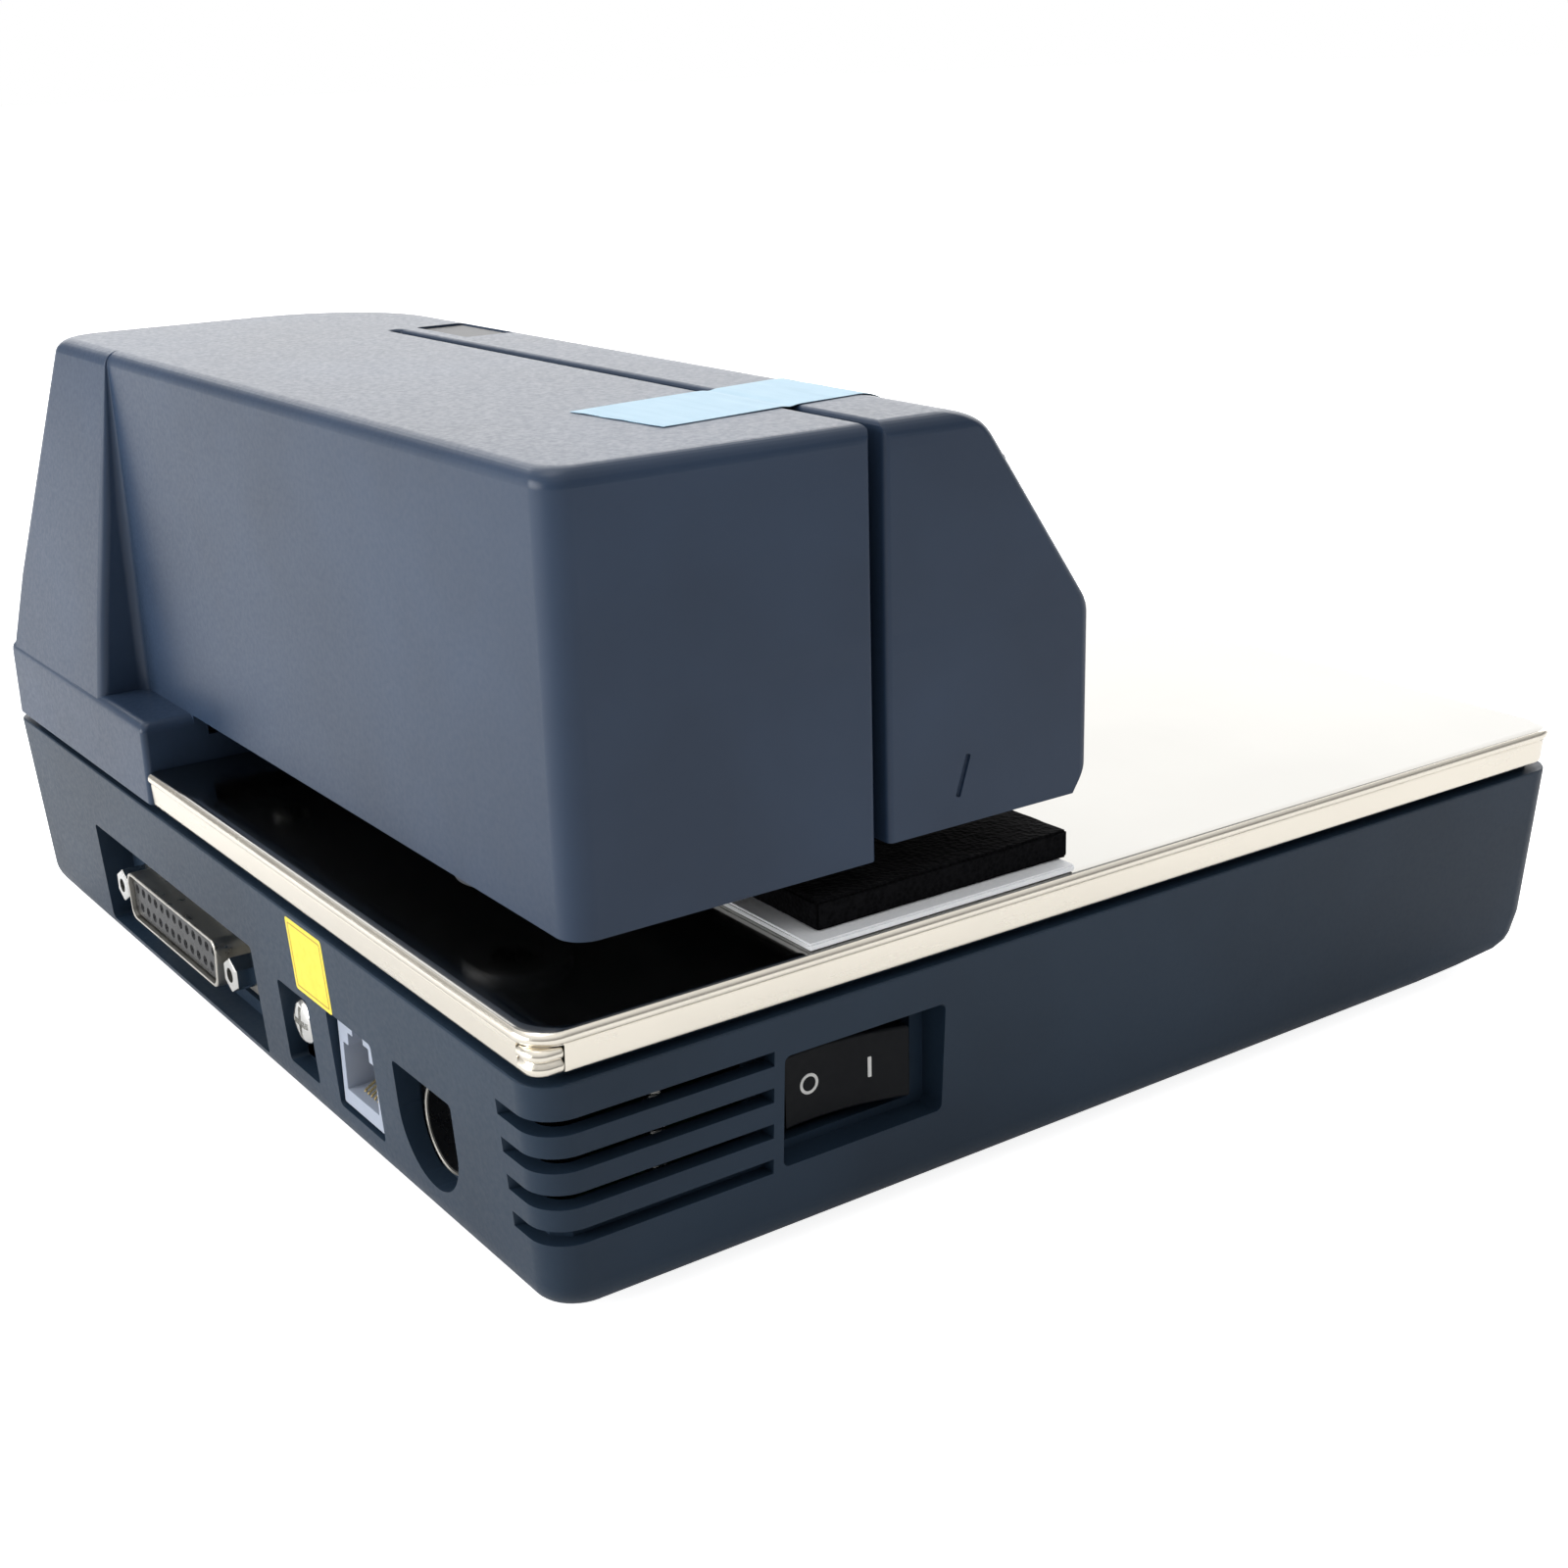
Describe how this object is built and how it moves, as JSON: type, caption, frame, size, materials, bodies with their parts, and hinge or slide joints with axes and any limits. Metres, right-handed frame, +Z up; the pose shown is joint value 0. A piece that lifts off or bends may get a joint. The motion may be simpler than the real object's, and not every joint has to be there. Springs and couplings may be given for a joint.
{
  "type": "slip validation printer",
  "caption": "Low rectangular countertop printer with a steel slip table, a printing arm reaching over it from a side tower, a slip slot and rear connectors",
  "frame": {"origin": "centre of the footprint, on the surface that the feet rest on", "axes": "+Z up, +Y towards the connectors at the rear, -Y towards the operator, +X towards the tower, -X towards the free end of the arm"},
  "size_m": [0.1906, 0.1806, 0.1011],
  "materials": {
    "case_plastic": "fine moulded texture",
    "base_plastic": "fine moulded texture",
    "inner_plastic": "smooth moulded",
    "key_plastic": "fine moulded texture",
    "table_steel": "polished stainless sheet with fine scuffs",
    "screw_steel": "bright nickel plating",
    "foot_rubber": "matt",
    "smoked_window": "dark smoked, glossy",
    "led_parts": "diffused lens",
    "switch_board": "solder mask",
    "board_parts": "moulded",
    "label_paper": "satin label stock",
    "tape_film": "pale translucent film",
    "damper_foam": "open-cell foam",
    "damper_sheet": "soft foam sheet",
    "connector_metal": "satin tin plating",
    "connector_plastic": "moulded",
    "port_plastic": "pale moulded",
    "contact_brass": "plated",
    "switch_plastic": "satin moulded",
    "option_switch_red": "moulded",
    "zinc_sheet": "zinc plated sheet",
    "shaft_steel": "ground",
    "motor_steel": "zinc plated",
    "nylon": "natural nylon",
    "belt_rubber": "matt",
    "knob_plastic": "moulded",
    "ribbon_fabric": "inked nylon weave",
    "platen_rubber": "ground",
    "pinch_rubber": "ground"
  },
  "bodies": {
    "printer_base": {"lower_housing": "base_plastic", "rubber_feet": "foot_rubber", "base_screws": "screw_steel", "slip_table": "table_steel", "upper_case": "case_plastic", "rear_underside_plate": "inner_plastic", "front_underside_plate": "inner_plastic", "underside_screws": "screw_steel", "indicator_window": "smoked_window", "indicator_leds": "led_parts", "key_panel": "inner_plastic", "key_switches": "switch_board", "caution_label": "label_paper", "shipping_tape": "tape_film", "dsub_shell": "connector_metal", "dsub_insert": "connector_plastic", "dsub_jack_posts": "screw_steel", "ground_screw": "screw_steel", "drawer_jack": "port_plastic", "power_jack_housing": "connector_plastic", "power_jack_ring": "connector_metal", "power_jack_pins": "contact_brass", "power_switch_frame": "switch_plastic", "main_board": "switch_board", "board_components": "board_parts", "dip_switch_cover": "base_plastic", "dip_switches": "option_switch_red", "base_chassis": "zinc_sheet", "tower_bracket": "zinc_sheet", "print_frame": "zinc_sheet", "feed_frame": "zinc_sheet", "guide_shaft": "shaft_steel", "carriage_motor": "motor_steel", "timing_belt": "belt_rubber", "ribbon_cassette": "inner_plastic", "ribbon": "ribbon_fabric", "platen": "platen_rubber", "feed_motor": "motor_steel", "stopper_solenoid": "motor_steel", "form_sensors": "inner_plastic"},
    "cover": {"ribbon_cover": "case_plastic"},
    "forward_key_body": {"forward_key": "key_plastic"},
    "reverse_key_body": {"reverse_key": "key_plastic"},
    "release_key_body": {"release_key": "key_plastic"},
    "rocker": {"power_switch_rocker": "switch_plastic"},
    "transport_damper": {"damper_foam": "damper_foam", "damper_sheet": "damper_sheet"},
    "head_carriage": {"carriage": "inner_plastic", "print_head": "inner_plastic"},
    "drive_pulley_body": {"drive_pulley": "contact_brass"},
    "idler_pulley_body": {"idler_pulley": "nylon"},
    "ribbon_spool": {"ribbon_knob": "knob_plastic"},
    "feed_roller": {"feed_shaft": "shaft_steel", "feed_rollers": "belt_rubber", "feed_gear": "nylon"},
    "feed_motor_rotor": {"feed_pinion": "contact_brass"},
    "pinch_roller": {"pinch_shaft": "shaft_steel", "pinch_rollers": "pinch_rubber"},
    "stopper": {"form_stopper": "zinc_sheet"},
    "solenoid_plunger": {"stopper_plunger": "shaft_steel"}
  },
  "joints": [
    {"name": "cover_hinge", "type": "hinge", "parent": "printer_base", "child": "cover", "pos_m": [-0.027, 0.0187, 0.094], "axis": [-1, 0, 0], "range_deg": [0, 95]},
    {"name": "forward_key_press", "type": "slide", "parent": "printer_base", "child": "forward_key_body", "axis": [0, 0, -1], "range_m": [0, 0.001], "stiffness_N_per_m": 1000},
    {"name": "reverse_key_press", "type": "slide", "parent": "printer_base", "child": "reverse_key_body", "axis": [0, 0, -1], "range_m": [0, 0.001], "stiffness_N_per_m": 1000},
    {"name": "release_key_press", "type": "slide", "parent": "printer_base", "child": "release_key_body", "axis": [0, 0, -1], "range_m": [0, 0.001], "stiffness_N_per_m": 1000},
    {"name": "rocker_tilt", "type": "hinge", "parent": "printer_base", "child": "rocker", "pos_m": [-0.0874, 0.044, 0.02005], "axis": [0, 0, 1], "range_deg": [0, 14]},
    {"name": "damper_pull", "type": "slide", "parent": "printer_base", "child": "transport_damper", "axis": [-1, 0, 0], "range_m": [0, 0.065]},
    {"name": "head_travel", "type": "slide", "parent": "printer_base", "child": "head_carriage", "axis": [-1, 0, 0], "range_m": [0, 0.07]},
    {"name": "drive_pulley_spin", "type": "hinge", "parent": "printer_base", "child": "drive_pulley_body", "pos_m": [0.053, 0.023, 0.0543], "axis": [0, 0, 1], "range_deg": [-900, 10]},
    {"name": "idler_pulley_spin", "type": "hinge", "parent": "printer_base", "child": "idler_pulley_body", "pos_m": [-0.0805, 0.023, 0.0543], "axis": [0, 0, 1], "range_deg": [-900, 10]},
    {"name": "ribbon_wind", "type": "hinge", "parent": "printer_base", "child": "ribbon_spool", "pos_m": [0.02, 0.028, 0.092], "axis": [0, 0, 1], "continuous": true},
    {"name": "feed_spin", "type": "hinge", "parent": "printer_base", "child": "feed_roller", "pos_m": [-0.02, 0.04335, 0.0555], "axis": [1, 0, 0], "continuous": true},
    {"name": "feed_motor_spin", "type": "hinge", "parent": "printer_base", "child": "feed_motor_rotor", "pos_m": [0.043, 0.05482, 0.06446], "axis": [1, 0, 0], "continuous": true},
    {"name": "pinch_spin", "type": "hinge", "parent": "printer_base", "child": "pinch_roller", "pos_m": [-0.02, 0.03355, 0.0555], "axis": [1, 0, 0], "continuous": true},
    {"name": "stopper_tilt", "type": "hinge", "parent": "printer_base", "child": "stopper", "pos_m": [-0.02, 0.046, 0.08], "axis": [-1, 0, 0], "range_deg": [0, 15]},
    {"name": "plunger_pull", "type": "slide", "parent": "printer_base", "child": "solenoid_plunger", "axis": [0, 1, 0], "range_m": [0, 0.004]}
  ],
  "couplings": [
    {"joint": "drive_pulley_spin", "follows": "head_travel", "rad_per_m": -222.22},
    {"joint": "idler_pulley_spin", "follows": "head_travel", "rad_per_m": -222.22},
    {"joint": "feed_motor_spin", "follows": "feed_spin", "ratio": -2},
    {"joint": "pinch_spin", "follows": "feed_spin", "ratio": -1.1111},
    {"joint": "plunger_pull", "follows": "stopper_tilt", "m_per_rad": 0.0112}
  ]
}
